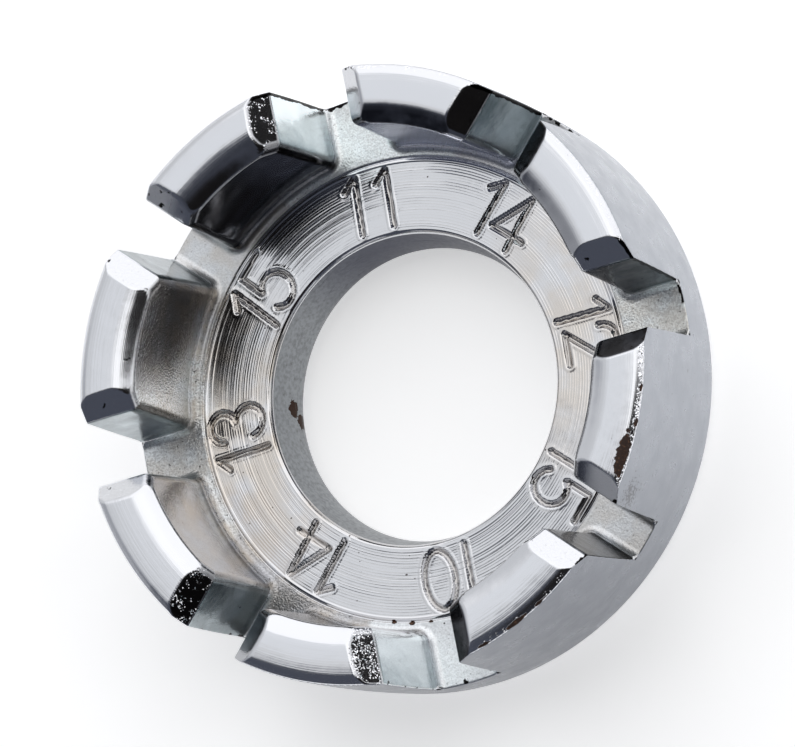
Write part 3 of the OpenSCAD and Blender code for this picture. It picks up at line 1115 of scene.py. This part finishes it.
def assign_finishes(piece, p, faces):
    """Gives each triangle its finish by where its middle lies, and returns how many triangles each has.

    0 is the crown, 1 the turned face, 2 the outside and the back, and 3 the hole.
    """
    middle = p[faces].mean(axis=1)
    r, z = np.hypot(middle[:, 0], middle[:, 1]), middle[:, 2]
    number = np.zeros(len(faces), np.int32)
    number[(r < RIM_LINE_R) & (z > FACE_Z - 0.4)] = 1
    number[(z < CREST_Z - BEVEL_H) & (r > wall_r(z) - 0.05)] = 2
    number[z < 0.4] = 2
    number[(r < LAND_R + HOLE_BACK_R) & (z < FACE_Z - MOUTH_BEVEL) & (number == 0)] = 3
    piece.data.polygons.foreach_set("material_index", number)
    return np.bincount(number)


ring.data.materials.append(crown_material())
ring.data.materials.append(turned_material())
ring.data.materials.append(satin_material("satin_chrome", *OUTSIDE))
ring.data.materials.append(satin_material("hole_chrome", *HOLE))
print("triangles of each finish:", assign_finishes(ring, surface, triangles))

# %% [markdown]
# ## The floor
#
# The tool lies on white paper. A paper lit only by the studio comes out light grey, so it adds a little of
# its own light for the rays of the camera and of the chrome. It still receives the tool's soft shadow.

# %% Floor
FLOOR_SIDE = 1.2
FLOOR_GLOW = 0.5


def floor():
    """A square sheet of pale paper under the tool."""
    half = FLOOR_SIDE / 2
    corners = [(-half, -half, 0), (half, -half, 0), (half, half, 0), (-half, half, 0)]
    mesh = bpy.data.meshes.new("floor")
    mesh.from_pydata(corners, [], [(0, 1, 2, 3)])
    sheet = bpy.data.objects.new("floor", mesh)
    scene.collection.objects.link(sheet)
    material = bpy.data.materials.new("floor_paper")
    material.use_nodes = True
    tree = material.node_tree
    shader = tree.nodes["Principled BSDF"]
    shader.inputs["Base Color"].default_value = (0.93, 0.93, 0.93, 1)
    shader.inputs["Roughness"].default_value = 0.9
    shader.inputs["Emission Color"].default_value = (1, 1, 1, 1)
    path = add(tree, "LightPath", {})
    seen = calc(tree, "MAXIMUM", path.outputs["Is Camera Ray"], path.outputs["Is Glossy Ray"])
    seen = calc(tree, "MAXIMUM", seen, path.outputs["Is Transmission Ray"])
    tree.links.new(times(tree, seen, FLOOR_GLOW), shader.inputs["Emission Strength"])
    mesh.materials.append(material)


floor()

# %% [markdown]
# ## The studio
#
# Chrome has hardly any colour of its own: what it shows is the room. The room here is a white studio with its
# unlit side behind the camera. It is painted on the world by direction: each patch is round, with a soft rim,
# and darkens or lightens what lies within its angle.

# %% World
def direction(azimuth, elevation):
    """Unit vector for an azimuth and an elevation in degrees, in the tool's own frame."""
    a, e = math.radians(azimuth), math.radians(elevation)
    return math.cos(e) * math.cos(a), math.cos(e) * math.sin(a), math.sin(e)


# Azimuth, elevation, radius of the patch, width of its soft rim, all in degrees, and the colour inside it
PATCHES = [
    (160, 20, 42, 24, (0.7, 0.71, 0.73)),
    (178, 22, 20, 16, (0.42, 0.43, 0.46)),
    (-107, 20, 64, 6, (0.075, 0.082, 0.106)),
    (-165, 78, 13, 4, (0.06, 0.066, 0.085)),
    (-170, 57, 7, 4, (0.06, 0.066, 0.085)),
    (-38, 3, 18, 12, (0.68, 0.68, 0.69)),
    (-10, 14, 20, 12, (0.85, 0.85, 0.85)),
    (62, 42, 48, 18, (1.3, 1.3, 1.32)),
    (60, 75, 19, 8, (1.35, 1.35, 1.35)),
    (-52, 54, 29, 6, (0.012, 0.011, 0.011)),
    (16, 37, 10, 5, (0.012, 0.011, 0.011)),
    (140, 62, 9, 5, (0.9, 0.92, 0.95)),
]


def studio():
    """World shader: white, with a soft patch in each direction of PATCHES, and all white for the camera.

    A patch is found from the cosine of the angle between the ray and the patch's middle.
    """
    world = bpy.data.worlds.new("studio")
    scene.world = world
    world.use_nodes = True
    tree = world.node_tree
    where = add(tree, "TexCoord", {}).outputs["Generated"]
    white = (1, 1, 1, 1)
    colour = white
    for azimuth, elevation, size, rim, shade in PATCHES:
        aim = direction(azimuth, elevation)
        near = add(tree, "VectorMath", {0: where, 1: aim}, operation="DOT_PRODUCT").outputs["Value"]
        edge, core = math.cos(math.radians(size + rim / 2)), math.cos(math.radians(size - rim / 2))
        colour = blend(tree, span(tree, near, edge, core), colour, (*shade, 1))
    colour = blend(tree, add(tree, "LightPath", {}).outputs["Is Camera Ray"], colour, white)
    tree.links.new(colour, tree.nodes["Background"].inputs["Color"])


studio()
